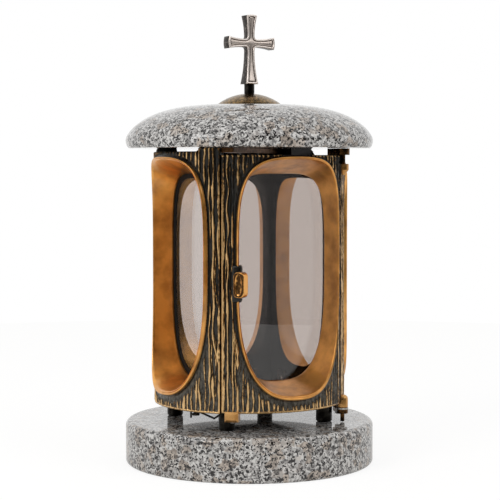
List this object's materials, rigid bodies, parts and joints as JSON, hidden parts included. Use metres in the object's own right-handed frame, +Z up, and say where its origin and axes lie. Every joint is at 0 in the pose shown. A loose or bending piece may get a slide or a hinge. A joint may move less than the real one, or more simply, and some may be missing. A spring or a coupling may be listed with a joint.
{
  "type": "grave lantern",
  "caption": "Round cast bronze grave lantern with bark relief, glazed funnel windows, a hinged door, granite base and domed granite roof, and a cross on top.",
  "frame": {"origin": "centre of the granite base's underside", "axes": "+Z up along the drum's axis to the cross, -Y out of the door, +X towards the door's hinge"},
  "size_m": [0.18, 0.18, 0.3235],
  "materials": {
    "granite": "polished granite, opaque, speckled grey, beige and black",
    "bark_bronze": "cast bronze, dark patina with golden worn ridges",
    "polished_bronze": "polished bronze",
    "cross_bronze": "worn pinkish bronze with dark sides",
    "rosette_bronze": "brushed dark bronze",
    "smoked_glass": "lightly smoked flat glass",
    "black_rubber": "matt black seal",
    "blackened_steel": "blackened steel",
    "bridge_steel": "brown painted flat bar",
    "bright_steel": "plain stainless screws and pins"
  },
  "bodies": {
    "lantern": {"granite_base": "granite", "granite_roof": "granite", "lantern_frame": "bark_bronze", "right_glass": "smoked_glass", "back_glass": "smoked_glass", "left_glass": "smoked_glass", "frame_glass_seals": "black_rubber", "frame_glass_clips": "bright_steel", "frame_clip_screws": "bright_steel", "upper_hinge_bracket": "polished_bronze", "lower_hinge_bracket": "polished_bronze", "hinge_bracket_screws": "bright_steel", "upper_hinge_pin": "bright_steel", "hinge_washer": "bright_steel", "catch_spring": "blackened_steel", "catch_spring_screw": "blackened_steel", "base_spacers": "blackened_steel", "base_washers": "bright_steel", "base_bolts": "bright_steel", "roof_bridge": "bridge_steel", "bridge_screws": "bright_steel", "roof_rosette": "rosette_bronze", "cross_stem": "blackened_steel", "cross": "cross_bronze", "tie_rod": "bright_steel", "tie_washer": "bright_steel", "tie_nut": "bright_steel", "candle_tray": "bridge_steel", "tray_screw": "bright_steel"},
    "door": {"door_leaf": "bark_bronze", "door_glass": "smoked_glass", "door_glass_seal": "black_rubber", "door_glass_clips": "bright_steel", "door_clip_screws": "bright_steel", "door_knob": "polished_bronze", "knob_nut": "polished_bronze", "catch_block": "polished_bronze", "catch_block_screw": "bright_steel", "lower_hinge_pin": "bright_steel"}
  },
  "joints": [
    {"name": "door_hinge", "type": "hinge", "parent": "lantern", "child": "door", "pos_m": [0.04957, -0.04871, 0.132], "axis": [0, 0, 1], "range_deg": [0, 120]}
  ]
}
